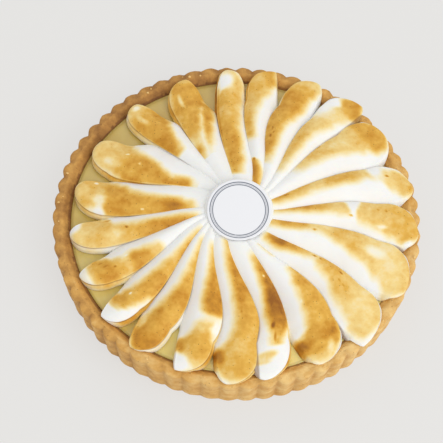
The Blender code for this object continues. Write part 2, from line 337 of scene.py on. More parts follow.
class OvenGroups:
    """The shader node groups that more than one finish uses, each built once."""

    GRAIN = "baked_grain"
    SPECKS = "scattered_specks"

    @staticmethod
    def group(name: str, inputs: dict[str, float], outputs: Sequence[str]) -> bpy.types.NodeTree:
        """Start a group with a vector input named Place, the given number inputs and number outputs."""
        tree = bpy.data.node_groups.new(name, "ShaderNodeTree")
        tree.interface.new_socket("Place", in_out="INPUT", socket_type="NodeSocketVector")
        for label, value in inputs.items():
            socket = tree.interface.new_socket(label, in_out="INPUT", socket_type="NodeSocketFloat")
            socket.default_value = value
        for label in outputs:
            tree.interface.new_socket(label, in_out="OUTPUT", socket_type="NodeSocketFloat")
        return tree

    @classmethod
    def grain(cls) -> bpy.types.NodeTree:
        """Return the group that mixes coarse and fine noise into a mottle and a height."""
        if cls.GRAIN in bpy.data.node_groups:
            return bpy.data.node_groups[cls.GRAIN]
        tree = cls.group(cls.GRAIN, {"Coarse": 150.0, "Fine": 900.0}, ("Mottle", "Height"))
        sketch = Sketch(tree)
        given = tree.nodes.new("NodeGroupInput").outputs
        place = given["Place"]
        coarse = sketch.add("TexNoise", Vector=place, Scale=given["Coarse"], Detail=4.0, Roughness=0.6)
        fine = sketch.add("TexNoise", Vector=place, Scale=given["Fine"], Detail=3.0, Roughness=0.7)
        pits = sketch.add("TexVoronoi", Vector=place, Scale=given["Fine"])
        pit_height = sketch.math("MULTIPLY", sketch.smooth_step(pits.outputs["Distance"], 0.0, 0.55), 0.45)
        height = sketch.math("MULTIPLY_ADD", fine.outputs["Fac"], 0.55, pit_height)
        result = tree.nodes.new("NodeGroupOutput")
        sketch.fill(result, Mottle=coarse.outputs["Fac"], Height=height)
        return tree

    @classmethod
    def specks(cls) -> bpy.types.NodeTree:
        """Return the group that scatters small round specks, some cells bare."""
        if cls.SPECKS in bpy.data.node_groups:
            return bpy.data.node_groups[cls.SPECKS]
        tree = cls.group(cls.SPECKS, {"Spacing": 300.0, "Size": 0.18, "Share": 0.4}, ("Mask",))
        sketch = Sketch(tree)
        given = tree.nodes.new("NodeGroupInput").outputs
        cells = sketch.add("TexVoronoi", Vector=given["Place"], Scale=given["Spacing"])
        near = sketch.math("LESS_THAN", cells.outputs["Distance"], given["Size"])
        pick = sketch.add("SeparateColor", Color=cells.outputs["Color"])
        chosen = sketch.math("LESS_THAN", pick.outputs["Red"], given["Share"])
        result = tree.nodes.new("NodeGroupOutput")
        sketch.fill(result, Mask=sketch.math("MULTIPLY", near, chosen))
        return tree


def new_material(name: str) -> tuple[bpy.types.Material, Sketch, bpy.types.Node]:
    """Return a new material with its sketch and its Principled shader."""
    material = bpy.data.materials.new(name)
    material.use_nodes = True
    sketch = Sketch(material.node_tree)
    return material, sketch, material.node_tree.nodes["Principled BSDF"]


@dataclass(frozen=True)
class MeringueFinish:
    """Soft, satin meringue: white in the valleys, torched gold to brown where the flame ran."""

    snow: Colour = from_screen(246, 246, 243)
    cream: Colour = from_screen(250, 240, 208)
    straw: Colour = from_screen(245, 216, 142)
    gold: Colour = from_screen(230, 180, 78)
    amber: Colour = from_screen(206, 144, 42)
    brown: Colour = from_screen(150, 92, 26)
    speck: Colour = from_screen(120, 72, 26)
    shade: Colour = from_screen(142, 98, 52)
    raggedness: float = 0.4
    drift: float = 0.6
    edge_gain: float = 2.0
    edge_height: float = 1.25
    speck_strength: float = 0.6
    shade_strength: float = 0.75

    def browning(self, sketch: Sketch, mottle: bpy.types.NodeSocket) -> bpy.types.NodeSocket:
        """Return the mesh's toast with its edges broken up by noise, from 0, white, to 1, brown."""
        toast = sketch.attribute(Attribute.TOAST)
        cloud = sketch.add("TexNoise", Vector=sketch.place(), Scale=90.0, Detail=3.0, Roughness=0.55)
        edge = sketch.math("MULTIPLY", toast, sketch.math("SUBTRACT", self.edge_height, toast))
        ragged = sketch.centred(mottle, self.raggedness)
        drift = sketch.centred(cloud.outputs["Fac"], self.drift)
        gain = sketch.math("MULTIPLY", edge, self.edge_gain)
        unevenness = sketch.math("MULTIPLY", sketch.math("ADD", ragged, drift), gain)
        return sketch.math("ADD", toast, unevenness, clamp=True)

    def material(self) -> bpy.types.Material:
        """Build the finish."""
        material, sketch, shader = new_material("toasted_meringue")
        place = sketch.place()
        grain_group = sketch.group(OvenGroups.grain(), Place=place, Coarse=260.0, Fine=1500.0)
        browning = self.browning(sketch, grain_group["Mottle"])
        stops = (
            (0.0, self.snow),
            (0.04, self.snow),
            (0.17, self.cream),
            (0.36, self.straw),
            (0.56, self.gold),
            (0.74, self.amber),
            (0.96, self.brown),
        )
        colour = sketch.ramp(browning, stops)
        specks = sketch.group(OvenGroups.specks(), Place=place, Spacing=520.0, Size=0.17, Share=0.34)
        on_gold = sketch.math("MULTIPLY", specks["Mask"], sketch.smooth_step(browning, 0.35, 0.6))
        colour = sketch.blend(sketch.math("MULTIPLY", on_gold, self.speck_strength), colour, self.speck)
        # Painted shade under the lips, along the contact lines and at the foot
        painted_shade = sketch.attribute(Attribute.PAINTED_SHADE)
        colour = sketch.shaded(painted_shade, self.shade_strength, colour, self.shade)
        bump = sketch.add("Bump", Strength=0.35, Distance=0.0003, Height=grain_group["Height"])
        sketch.fill(
            shader,
            Base_Color=colour,
            Roughness=sketch.math("MULTIPLY_ADD", browning, 0.12, 0.5),
            Specular_IOR_Level=0.3,
            Normal=bump.outputs["Normal"],
            Subsurface_Weight=0.12,
            Subsurface_Radius=(0.004, 0.003, 0.002),
            Subsurface_Scale=1.0,
        )
        return material


@dataclass(frozen=True)
class CrustFinish:
    """Baked shortcrust: dry, finely crumbed, gold with browner patches."""

    pale: Colour = from_screen(243, 205, 134)
    golden: Colour = from_screen(221, 168, 86)
    baked: Colour = from_screen(184, 132, 64)
    dark: Colour = from_screen(132, 86, 36)
    mottling: float = 0.9
    speck_strength: float = 0.45
    shade_strength: float = 0.6

    def material(self) -> bpy.types.Material:
        """Build the finish."""
        material, sketch, shader = new_material("baked_crust")
        place = sketch.place()
        crumb = sketch.group(OvenGroups.grain(), Place=place, Coarse=170.0, Fine=1100.0)
        mottle = sketch.centred(crumb["Mottle"], self.mottling)
        # The bake tone carries painted shade on the side away from the key light and in the flute valleys
        tone = sketch.math("ADD", sketch.attribute(Attribute.BAKE_AND_SHADE), mottle, clamp=True)
        stops = ((0.05, self.pale), (0.38, self.golden), (0.66, self.baked), (1.0, self.dark))
        colour = sketch.ramp(tone, stops)
        specks = sketch.group(OvenGroups.specks(), Place=place, Spacing=520.0, Size=0.2, Share=0.18)
        speck_share = sketch.math("MULTIPLY", specks["Mask"], self.speck_strength)
        colour = sketch.blend(speck_share, colour, self.dark)
        # Painted shade, darkest at the inner foot against the curd and lighter in the flute valleys
        painted_shade = sketch.attribute(Attribute.PAINTED_SHADE)
        colour = sketch.shaded(painted_shade, self.shade_strength, colour, self.dark)
        bump = sketch.add("Bump", Strength=0.6, Distance=0.0006, Height=crumb["Height"])
        sketch.fill(shader, Base_Color=colour, Roughness=0.72, Normal=bump.outputs["Normal"])
        return material


@dataclass(frozen=True)
class CurdFinish:
    """Set lemon curd: smooth, softly glossy, a little see-through."""

    lemon: Colour = from_screen(252, 236, 156)
    deep: Colour = from_screen(240, 217, 122)
    shaded: Colour = from_screen(186, 168, 126)

    def material(self) -> bpy.types.Material:
        """Build the finish."""
        material, sketch, shader = new_material("lemon_curd")
        place = sketch.place()
        cloud = sketch.add("TexNoise", Vector=place, Scale=60.0, Detail=3.0).outputs["Fac"]
        colour = sketch.blend(sketch.smooth_step(cloud, 0.3, 0.75), self.lemon, self.deep)
        # Painted shade from the mesh's shade values
        colour = sketch.blend(sketch.attribute(Attribute.PAINTED_SHADE), colour, self.shaded, "MULTIPLY")
        ripple = sketch.add("TexNoise", Vector=place, Scale=110.0, Detail=2.0).outputs["Fac"]
        bump = sketch.add("Bump", Strength=0.25, Distance=0.0008, Height=ripple)
        sketch.fill(
            shader,
            Base_Color=colour,
            Roughness=0.28,
            Normal=bump.outputs["Normal"],
            Subsurface_Weight=0.2,
            Subsurface_Radius=(0.006, 0.004, 0.001),
            Subsurface_Scale=1.0,
            Coat_Weight=0.25,
            Coat_Roughness=0.12,
        )
        return material


@dataclass(frozen=True)
class PlaqueFinish:
    """Pressed white sugar with a printed double ring."""

    sugar: Colour = from_screen(240, 241, 245)
    ink: Colour = from_screen(84, 93, 112)
    ink_strength: float = 0.95

    def material(self) -> bpy.types.Material:
        """Build the finish."""
        material, sketch, shader = new_material("pressed_sugar")
        sugar_grain = sketch.group(OvenGroups.grain(), Place=sketch.place(), Coarse=300.0, Fine=2600.0)
        whole = sketch.smooth_step(sugar_grain["Mottle"], 0.1, 0.45)
        worn = sketch.math("MULTIPLY", sketch.attribute(Attribute.PRINT), whole)
        colour = sketch.blend(sketch.math("MULTIPLY", worn, self.ink_strength), self.sugar, self.ink)
        bump = sketch.add("Bump", Strength=0.15, Distance=0.0001, Height=sugar_grain["Height"])
        sketch.fill(shader, Base_Color=colour, Roughness=0.42, Normal=bump.outputs["Normal"])
        return material


@dataclass
class Crust:
    """The fluted case, baked in one piece, paler on the side of the key light and darker in the flute valleys,
    both as painted shade.
    """

    rim_radius: float = 115.0
    height: float = 27.0
    taper: float = math.radians(6.0)
    rim_rounding: float = 1.6
    crown_width: float = 4.6
    floor_thickness: float = 5.0
    floor_radius: float = 101.0
    longest_step: float = 1.2

    flutes: int = 62
    steps_per_flute: int = 20
    flute_depth: float = 2.0
    flute_phase: float = math.radians(3.2)
    flute_share_at_base: float = 0.8
    flute_fade: float = 3.0
    # How flutes differ round the crust: share of the depth, waves round the pie, phase
    flute_waves: tuple[tuple[float, float, float], ...] = ((0.22, 5.0, 1.0), (0.16, 13.0, 0.0))

    sag: float = 0.35
    sag_below_rim: float = 6.0
    lump: float = 0.28
    lump_size: float = 6.0
    crumb: float = 0.16
    crumb_size: float = 2.2
    most_outward: float = 0.2

    least_bake: float = 0.15
    # Painted shade on the side away from the key light and in the flute valleys, carried in the bake tone
    painted_shade_of_side: float = 0.5
    painted_shade_of_valley: float = 0.06
    bake_of_inner_edge: float = 0.14
    bake_of_wall: float = 0.06
    bake_of_patches: float = 0.22
    patch_size: float = 14.0
    inner_edge_radius: float = 109.5
    inner_edge_width: float = 3.0
    wall_below_rim: float = 3.0
    wall_fade: float = 8.0
    valley_painted_shade: float = 0.3
    lumps_above_curd: float = 1.0
    painted_shade_above_curd: float = 1.2
    finish: CrustFinish = field(default_factory=CrustFinish)

    def profile(self) -> list[tuple[float, float]]:
        """Return the wall's outline, from the middle of the underside round to the middle of the floor."""
        base_radius = self.rim_radius - self.height * math.tan(self.taper)
        crown_inner = self.rim_radius - self.rim_rounding - self.crown_width
        corners = (
            (0.0, 0.0, 0.0),
            (base_radius, 0.0, 1.2),
            (self.rim_radius, self.height - 0.4, 1.8),
            (self.rim_radius - self.rim_rounding, self.height, 1.2),
            (crown_inner, self.height, 1.5),
            (CURD_RADIUS, CURD_LEVEL, 0.0),
            (self.floor_radius, self.floor_thickness, 1.0),
            (0.0, self.floor_thickness, 0.0),
        )
        return divided(rounded(corners, 5), self.longest_step, self.floor_radius - 2.0)

    def flute_offset(self, angle: float, height: float) -> float:
        """Return how far the wall is drawn in here: round crests, narrow valleys, each a little different."""
        wave = abs(math.cos(0.5 * self.flutes * (angle - self.flute_phase)))
        unevenness = 1.0
        for share, waves, phase in self.flute_waves:
            unevenness += share * math.sin(waves * angle + phase)
        share_at_height = mix(self.flute_share_at_base, 1.0, height / self.height)
        return self.flute_depth * unevenness * (1.0 - wave) * share_at_height

    def bake_and_shade_at(self, point: Vector, angle: float, valley: float) -> float:
        """Return the crust's tone: baking browns the inner edge and outer wall and varies it in patches;
        painted shade darkens the flute valleys and the side away from the light.
        """
        radius = math.hypot(point.x, point.y)
        inner_edge = 0.0
        if point.z > CURD_LEVEL:
            inner_edge = ease((self.inner_edge_radius - radius) / self.inner_edge_width)
        outer_wall = ease((self.height - self.wall_below_rim - point.z) / self.wall_fade)
        patches = 0.5 * grain(point, self.patch_size, 3.0)
        return held(
            self.least_bake
            + self.painted_shade_of_side * in_shade(angle)
            + self.painted_shade_of_valley * valley
            + self.bake_of_inner_edge * inner_edge
            + self.bake_of_wall * outer_wall
            + self.bake_of_patches * patches
        )

    def build(self) -> bpy.types.Object:
        """Build the crust.

        Returns:
            The finished piece.
        """
        bm = turned(self.profile(), self.flutes * self.steps_per_flute)
        bake_and_shade = layer(bm, Attribute.BAKE_AND_SHADE)
        painted_shade = layer(bm, Attribute.PAINTED_SHADE)
        crown_middle = self.rim_radius - 0.5 * (self.rim_rounding + self.crown_width)
        flutes_from = crown_middle - 2.0
        for vert in bm.verts:
            radius, angle = polar(vert.co)
            outward = around(1.0, angle)
            valley = 0.0
            if radius > flutes_from:
                pull = self.flute_offset(angle, vert.co.z)
                valley = pull / self.flute_depth
                vert.co -= outward * pull * ease((radius - flutes_from) / self.flute_fade)
            if vert.co.z > self.height - self.sag_below_rim:
                vert.co.z -= self.sag * (1.0 + math.sin(3.0 * angle) * math.cos(5.0 * angle + 2.0))
            if radius > CURD_RADIUS:
                lump = self.lump * grain(vert.co, self.lump_size, 1.0)
                lump += self.crumb * grain(vert.co, self.crumb_size, 2.0)
                vert.co += outward * min(lump, self.most_outward)
                if vert.co.z > CURD_LEVEL + self.lumps_above_curd:
                    vert.co.z += lump
            vert[bake_and_shade] = self.bake_and_shade_at(vert.co, angle, valley)
            # Painted shade: full at the inner foot against the curd, lighter in the flute valleys
            low_inside = radius < crown_middle and vert.co.z < CURD_LEVEL + self.painted_shade_above_curd
            vert[painted_shade] = 1.0 if low_inside else self.valley_painted_shade * valley
        return serve(bm, "fluted_crust", self.finish.material(), Slot.CRUST)


@dataclass
class Curd:
    """The lemon curd, seen between the strokes and the crust."""

    floor: float = 5.3
    floor_radius: float = 100.6
    overlap: float = 0.35
    climb: float = 0.7
    climb_width: float = 1.6
    ripple: float = 0.12
    ripple_size: float = 9.0
    # Painted shade on the side away from the key light and at the edge against the crust
    side_painted_shade: float = 0.75
    edge_painted_shade: float = 0.5
    edge_width: float = 2.0
    level_radius: float = 60.0
    longest_step: float = 1.0
    steps: int = 360
    finish: CurdFinish = field(default_factory=CurdFinish)

    def build(self) -> bpy.types.Object:
        """Build the curd with its edge drawn up the crust.

        Returns:
            The finished piece.
        """
        edge = CURD_RADIUS + self.overlap
        profile = [(0.0, self.floor), (self.floor_radius, self.floor), (edge, CURD_LEVEL + self.climb)]
        surface = divided(((edge, 0.0), (self.level_radius, 0.0), (0.0, 0.0)), self.longest_step)
        for radius, _ in surface[1:]:
            meniscus = self.climb * math.exp(-(edge - radius) / self.climb_width)
            profile.append((radius, CURD_LEVEL + meniscus if radius > 0.0 else CURD_LEVEL))
        bm = turned(profile, self.steps)
        painted_shade = layer(bm, Attribute.PAINTED_SHADE)
        for vert in bm.verts:
            radius, angle = polar(vert.co)
            if vert.co.z > CURD_LEVEL - 0.1 and radius < CURD_RADIUS - 0.5:
                vert.co.z += self.ripple * grain(vert.co, self.ripple_size, 5.0)
            # Painted shade: darker on the side away from the key light and at the edge against the crust
            at_edge = ease((radius - CURD_RADIUS + self.edge_width) / self.edge_width)
            vert[painted_shade] = held(self.side_painted_shade * in_shade(angle) + self.edge_painted_shade * at_edge)
        return serve(bm, "curd_filling", self.finish.material(), Slot.CURD)


class Singe(NamedTuple):
    """Where a torched band lies at one radius: from low to high across the stroke, and how brown it is."""

    radius: float
    low: float
    high: float
    tone: float


class Patch(NamedTuple):
    """A soft-edged patch on a stroke, measured in millimetres, that is drawn towards a tone of its own."""

    radius: float
    across: float
    length: float
    breadth: float
    tone: float
    strength: float


class Spot(NamedTuple):
    """A point of a stroke's cross-section: its share of the width from the lip, and its place in height."""

    across: float
    bulge: float
    rise: float
    drop: float


@dataclass(frozen=True)
class Stroke:
    """One piped stroke: where its lip runs, in degrees anticlockwise from +X, and how the torch browned it;
    some patches are painted highlights instead.

    The lip passes the angles start, bow and edge at the three stations of Meringue. The stroke closes on the
    angle tip at the radius reach, and span is how many degrees wide its free end is.
    """

    name: str
    start: float
    bow: float
    edge: float
    tip: float
    reach: float
    span: float
    bands: tuple[tuple[Singe, ...], ...] = ()
    patches: tuple[Patch, ...] = ()
    wall: tuple[Singe, ...] = ()

    def turned_back(self) -> "Stroke":
        """Return the stroke's course with its angles one full turn lower."""
        angles = [angle - 360 for angle in (self.start, self.bow, self.edge, self.tip)]
        return Stroke(self.name, *angles, self.reach, self.span)


def interpolate(stations: Sequence[Singe], radius: float) -> Singe | None:
    """Return the band at a radius, eased between stations, held past the last, nothing before the first."""
    if not stations or radius < stations[0].radius:
        return None
    for first, second in zip(stations, stations[1:]):
        if radius <= second.radius:
            share = ease((radius - first.radius) / (second.radius - first.radius))
            return Singe(*(mix(a, b, share) for a, b in zip(first, second)))
    return stations[-1]


def band(*stations: tuple[float, float, float, float]) -> tuple[Singe, ...]:
    """Return a torched band from (radius, low, high, tone) stations, all but the radius in hundredths."""
    return tuple(Singe(radius, low / 100, high / 100, tone / 100) for radius, low, high, tone in stations)


def wall(*stations: tuple[float, float]) -> tuple[Singe, ...]:
    """Return how brown a stroke's wall is from (radius, tone in hundredths) stations."""
    return tuple(Singe(radius, 0.0, 0.0, tone / 100) for radius, tone in stations)


def patch(
    radius: float, across: float, length: float, breadth: float, tone: float, strength: float = 100
) -> Patch:
    """Return a patch whose place across, tone and strength are given in hundredths."""
    return Patch(radius, across / 100, length, breadth, tone / 100, strength / 100)


# Each stroke: its name, start, bow, edge, tip, reach and span, then its torched bands, patches and wall
STROKES = (
    Stroke(
        "u", 101, 103, 101, 96, 110.5, 12,
        bands=(
            band((24, 30, 40, 0), (27, 16, 44, 62), (40, 14, 58, 68), (60, 12, 66, 60), (75, 10, 72, 55),
                 (88, 10, 86, 52), (96, 40, 95, 50), (104, 30, 100, 42), (110, 10, 100, 35)),
            band((28, 0, 2, 30), (42, 0, 8, 80), (60, 0, 11, 95), (86, 0, 10, 88), (98, 0, 4, 60),
                 (104, 0, 2, 40)),
        ),
        patches=(patch(101, 28, 7.5, 6, 0),),
        wall=wall((22, 30), (40, 70), (60, 92), (95, 85), (108, 40)),
    ),
    Stroke(
        "t", 74, 87, 88, 79.5, 112.5, 13,
        bands=(
            band((21, 30, 75, 80), (30, 12, 55, 78), (38, 4, 36, 75), (40, 10, 30, 0)),
            band((52, 0, 30, 10), (58, 5, 34, 55), (63, 2, 34, 62), (75, 0, 40, 50), (85, 0, 48, 45),
                 (95, 0, 74, 50), (103, 5, 100, 55), (110, 0, 100, 60)),
        ),
        patches=(patch(38.6, 12, 1, 1.2, 100),),
        wall=wall((60, 30), (88, 55), (108, 75)),
    ),
    Stroke(
        "s", 61, 75, 74, 65, 114.5, 15,
        bands=(
            band((37, 10, 30, 0), (42, 0, 32, 45), (48, -2, 40, 64), (60, 0, 48, 62), (70, 0, 52, 60),
                 (80, -2, 62, 64), (90, -2, 70, 72), (98, -2, 72, 70), (104, 0, 85, 52), (110, 0, 100, 42)),
        ),
        patches=(patch(60, 16, 1.2, 0.8, 90), patch(63, 24, 1, 0.7, 90), patch(66, 18, 1.2, 0.7, 88)),
        wall=wall((40, 10), (90, 25), (108, 50)),
    ),
    Stroke(
        "r", 49, 59, 59, 48.5, 117, 17,
        bands=(
            band((33, 10, 40, 0), (44, 4, 45, 40), (50, 2, 46, 52), (62, 2, 48, 52), (75, 0, 50, 45),
                 (85, 0, 55, 42), (92, 10, 62, 34), (100, 30, 80, 38), (106, 50, 100, 62),
                 (113, 20, 100, 66)),
        ),
        patches=(patch(99, 8, 9, 7, 5),),
    ),
    Stroke(
        "q", 40, 46, 46, 36, 113.5, 23,
        bands=(
            band((40, 0, 30, 0), (55, 0, 36, 42), (65, 0, 42, 52), (75, 0, 46, 44), (85, 0, 50, 40),
                 (95, 2, 66, 44), (102, 5, 80, 62), (110, 5, 90, 62)),
        ),
        patches=(patch(72, 0, 2.2, 0.8, 95), patch(84, 22, 9, 4, 28, 60)),
    ),
    Stroke(
        "p", 25, 28, 26, 13.5, 113, 19,
        bands=(
            band((20, 0, 40, 55), (28, 0, 44, 64), (40, 0, 44, 52), (55, 0, 42, 47), (68, -2, 40, 52),
                 (78, 0, 38, 58), (86, 2, 30, 42), (92, 10, 40, 20), (100, 20, 72, 36), (107, 20, 90, 50),
                 (112, 20, 100, 55)),
        ),
        patches=(patch(93, 10, 5, 5.5, 0), patch(99, 30, 1.3, 0.9, 90), patch(32, 12, 2, 0.6, 90)),
    ),
    Stroke(
        "o", 5.5, 10.5, 9, -3.5, 113, 21,
        bands=(
            band((20, 15, 30, 50), (28, 0, 26, 62), (36, -4, 28, 72), (45, -4, 36, 67), (55, 0, 42, 52),
                 (65, 5, 50, 44), (69, 22, 52, 40), (72, 40, 50, 0)),
            band((72, 50, 60, 0), (75, 30, 62, 38), (80, 6, 62, 44), (88, 0, 64, 46), (96, 0, 78, 50),
                 (105, 0, 92, 52), (112, 0, 95, 52)),
        ),
        patches=(patch(72, 16, 4, 5.5, 0), patch(90, 56, 4, 1.6, 12, 85), patch(107, 95, 4, 3, 5),
                 patch(70.5, 50, 1.6, 0.6, 70), patch(88, 18, 0.8, 0.8, 80), patch(93, 20, 0.8, 0.8, 80)),
    ),
    Stroke(
        "n", -11, -6, -8, -23.5, 114, 24,
        bands=(
            band((20, 10, 40, 60), (30, 0, 36, 70), (40, -2, 28, 62), (48, 0, 28, 38), (55, 0, 32, 40),
                 (65, 0, 46, 50), (75, 0, 56, 50), (84, 0, 56, 42), (95, 0, 75, 34), (105, 0, 100, 40),
                 (112, 0, 100, 44)),
        ),
        patches=(patch(89, 28, 8, 4.5, 12), patch(49, 22, 1.4, 0.9, 75)),
    ),
    Stroke(
        "m", -35, -28, -30, -46.5, 115.5, 21,
        bands=(
            band((21, 25, 35, 10), (28, 8, 46, 76), (35, 2, 50, 88), (42, 0, 42, 68), (50, 0, 32, 50),
                 (56, 4, 30, 34), (62, 4, 46, 54), (70, 4, 52, 54), (78, 2, 64, 50), (88, 2, 64, 44),
                 (95, 2, 75, 34), (103, 3, 90, 38), (110, 5, 90, 40), (115, 10, 90, 10)),
        ),
        patches=(patch(56, 10, 1.5, 0.9, 90), patch(60, 10, 1, 0.7, 90), patch(75, 12, 1.6, 0.8, 92),
                 patch(77, 30, 1.2, 0.6, 75), patch(81, 30, 1.4, 0.6, 72)),
    ),
    Stroke(
        "l", -57, -45, -47.5, -60, 111.5, 19,
        bands=(
            band((26, -6, 2, 55), (38, -6, 3, 50), (40, -5, 0, 0)),
            band((46, -5, 10, 10), (52, -2, 22, 52), (60, 0, 42, 64), (70, 0, 50, 60), (80, 0, 56, 57),
                 (87, 0, 62, 60), (92, 5, 82, 68), (97, 10, 105, 74), (102, 10, 105, 64),
                 (107, 20, 100, 42), (111, 20, 100, 30)),
        ),
        patches=(patch(97, 94, 6, 4.5, 90, 90), patch(105, 28, 5, 3, 25, 80), patch(72, 50, 1.2, 0.7, 15)),
    ),
    Stroke(
        "k", -69, -64, -67.5, -78.5, 111.5, 16,
        bands=(
            band((27, -4, 10, 10), (36, -4, 22, 66), (45, -3, 30, 78), (55, -2, 42, 86), (65, 0, 56, 92),
                 (72, 0, 62, 92), (77, 2, 56, 82), (81, 10, 50, 72), (86, 20, 46, 60), (91, 28, 45, 58),
                 (94, 30, 40, 0)),
            band((93, 50, 70, 0), (97, 45, 85, 42), (101, 60, 95, 36), (104, 70, 90, 0)),
        ),
        patches=(patch(80, 40, 2.2, 1.6, 100), patch(87, 33, 3.5, 0.8, 85), patch(48, 16, 1.2, 0.9, 20)),
        wall=wall((60, 10), (85, 35), (104, 60), (112, 40)),
    ),
    Stroke(
        "j", -96, -79, -80, -90, 113.5, 17,
        bands=(
            band((20, 10, 26, 50), (28, 0, 24, 56), (35, -5, 32, 72), (45, -4, 42, 74), (55, -2, 50, 72),
                 (65, 0, 58, 64), (75, 2, 60, 56), (85, 2, 64, 54), (92, 5, 82, 56), (97, 5, 105, 60),
                 (103, 8, 105, 56), (109, 10, 95, 50), (113, 15, 90, 28)),
        ),
        patches=(patch(97, 88, 6, 4.5, 80), patch(69, 40, 1.2, 0.8, 85)),
        wall=wall((70, 10), (95, 40), (110, 50)),
    ),
    Stroke(
        "i", -117, -97, -97, -106.5, 111, 14,
        bands=(
            band((26, -6, 10, 20), (32, -6, 16, 62), (40, -5, 20, 66), (48, -4, 32, 68), (56, 0, 45, 74),
                 (64, 3, 52, 80), (70, 5, 50, 74), (75, 15, 48, 20), (81, 28, 60, 48), (87, 20, 68, 58),
                 (92, 8, 95, 58), (98, 5, 100, 56), (103, 8, 75, 48), (108, 0, 30, 30)),
        ),
        patches=(patch(95, 85, 4.5, 3.5, 68), patch(106, 75, 6, 6.5, 0), patch(80, 8, 5, 2, 8)),
        wall=wall((55, 10), (80, 35), (100, 60), (110, 40)),
    ),
    Stroke(
        "h", -132, -115, -114.5, -122, 110.5, 13.5,
        bands=(
            band((27, -6, 6, 20), (33, -6, 16, 62), (40, -5, 20, 62), (50, -4, 32, 60), (60, 0, 44, 68),
                 (70, 3, 55, 68), (78, 2, 66, 64), (86, 2, 78, 62), (94, 2, 96, 70), (102, 4, 100, 78),
                 (108, 0, 95, 80), (111, 0, 90, 50)),
        ),
        patches=(patch(93, 80, 6, 2.5, 35, 80),),
        wall=wall((50, 0), (80, 10), (98, 20), (110, 15)),
    ),
    Stroke(
        "g", -142, -130, -129, -136, 108, 12.5,
        bands=(
            band((25, 5, 22, 30), (30, 0, 20, 62), (40, 0, 20, 70), (50, 0, 32, 62), (60, 2, 44, 64),
                 (68, 4, 50, 68), (75, 6, 52, 64), (82, 24, 62, 62), (88, 30, 82, 60), (94, 42, 105, 62),
                 (98, 60, 105, 44), (101, 70, 100, 0)),
        ),
        patches=(patch(86, 52, 1.2, 0.8, 15),),
        wall=wall((45, 20), (65, 62), (90, 68), (101, 62), (107, 10)),
    ),
    Stroke(
        "f", -155, -145, -145, -152.5, 105.5, 12.5,
        bands=(
            band((47, 0, 10, 0), (56, 4, 36, 50), (64, 5, 46, 68), (71, 5, 50, 76), (77, 6, 46, 54),
                 (83, 12, 62, 56), (88, 6, 85, 64), (93, 5, 105, 62), (98, 6, 105, 46), (102, 10, 100, 10)),
        ),
        patches=(patch(77, 75, 7, 3, 0), patch(84, 34, 1, 0.7, 90), patch(89, 50, 2, 0.5, 80),
                 patch(91, 70, 2, 0.5, 85), patch(75, 45, 1.2, 0.6, 10)),
        wall=wall((50, 0), (75, 25), (92, 50), (103, 35)),
    ),
    Stroke(
        "e", -163, -160, -161, -169, 104.5, 14,
        bands=(
            band((22, 0, 20, 10), (28, -3, 26, 70), (35, -3, 40, 78), (42, -2, 46, 77), (50, 0, 50, 67),
                 (60, 0, 54, 62), (70, 2, 56, 54), (76, 5, 60, 42), (82, 2, 90, 47), (88, 0, 110, 48),
                 (95, 0, 110, 46), (100, 0, 90, 40), (105, 0, 80, 25)),
        ),
        patches=(patch(77, 26, 7, 3, 32, 65), patch(69.5, 40, 1.1, 0.9, 90), patch(101, 85, 4.5, 5, 0),
                 patch(80.5, 75, 2.2, 0.6, 75)),
        wall=wall((50, 0), (80, 10), (95, 22), (103, 20)),
    ),
    Stroke(
        "d", -178, -175, -177, -187.5, 103.5, 16.5,
        bands=(
            band((23, 0, 20, 10), (30, -2, 26, 62), (38, -2, 36, 78), (47, 0, 43, 75), (56, 2, 50, 60),
                 (65, 3, 60, 64), (74, 3, 74, 70), (80, 6, 84, 64), (86, 30, 100, 48), (91, 20, 110, 48),
                 (97, 8, 110, 47), (103, 10, 100, 40)),
        ),
        patches=(patch(86.5, 30, 5, 4.5, 12, 75), patch(91, 84, 1.7, 1.3, 10), patch(59, 10, 1.2, 0.7, 20)),
        wall=wall((50, 10), (80, 30), (95, 40), (102, 35)),
    ),
    Stroke(
        "c", -209, -197, -197, -206, 103.5, 17,
        bands=(
            band((30, 0, 15, 20), (38, -2, 28, 70), (48, -3, 24, 74), (53, -2, 36, 67), (60, 0, 50, 62),
                 (68, 0, 56, 64), (75, 2, 62, 62), (80, 10, 76, 52), (85, 15, 100, 45), (92, 10, 110, 44),
                 (100, 10, 110, 40), (103, 20, 100, 35)),
        ),
        patches=(patch(87, 24, 6, 3, 25, 65), patch(80.5, 52, 1.4, 0.9, 15), patch(70, 35, 1.2, 0.8, 20)),
        wall=wall((45, 20), (65, 60), (85, 58), (100, 45)),
    ),
    Stroke(
        "b", -229, -223, -221, -228, 105.5, 13.5,
        bands=(
            band((52, 10, 30, 0), (57, 5, 36, 60), (64, 3, 46, 75), (70, 3, 52, 77), (76, 4, 62, 65),
                 (82, 5, 86, 62), (88, 10, 110, 62), (94, 10, 110, 54), (103, 10, 110, 42)),
        ),
        # Both of b's pale patches are painted highlights
        patches=(patch(91, 30, 6, 2, 25, 70), patch(101, 50, 2.4, 3.4, 10, 80)),
        wall=wall((60, 0), (78, 30), (95, 35), (102, 20)),
    ),
    Stroke(
        "a", -238, -238, -239, -248.5, 107.5, 15,
        bands=(
            band((42, 0, 10, 50), (50, 5, 22, 66), (58, 12, 32, 40), (66, 8, 42, 62), (74, 6, 50, 64),
                 (80, 6, 66, 60), (86, 10, 95, 64), (92, 15, 110, 64), (98, 15, 110, 64),
                 (106, 15, 110, 56)),
            band((44, 42, 48, 20), (55, 50, 60, 58), (65, 58, 72, 68), (75, 66, 86, 68), (84, 80, 100, 62)),
        ),
        patches=(patch(90, 28, 6, 1.6, 20, 75),),
        wall=wall((38, 30), (45, 72), (60, 62), (85, 60), (104, 45)),
    ),
)


@dataclass(frozen=True)
class Ring:
    """What holds all round a stroke at one place along it, in millimetres and degrees."""

    radius: float
    lip: float
    edge: float
    width: float
    height: float
    relief: float
    swell: float
    bulge: float
    bands: tuple[Singe, ...]
    patches: tuple[Patch, ...]
    wall_tone: float
    contact: float


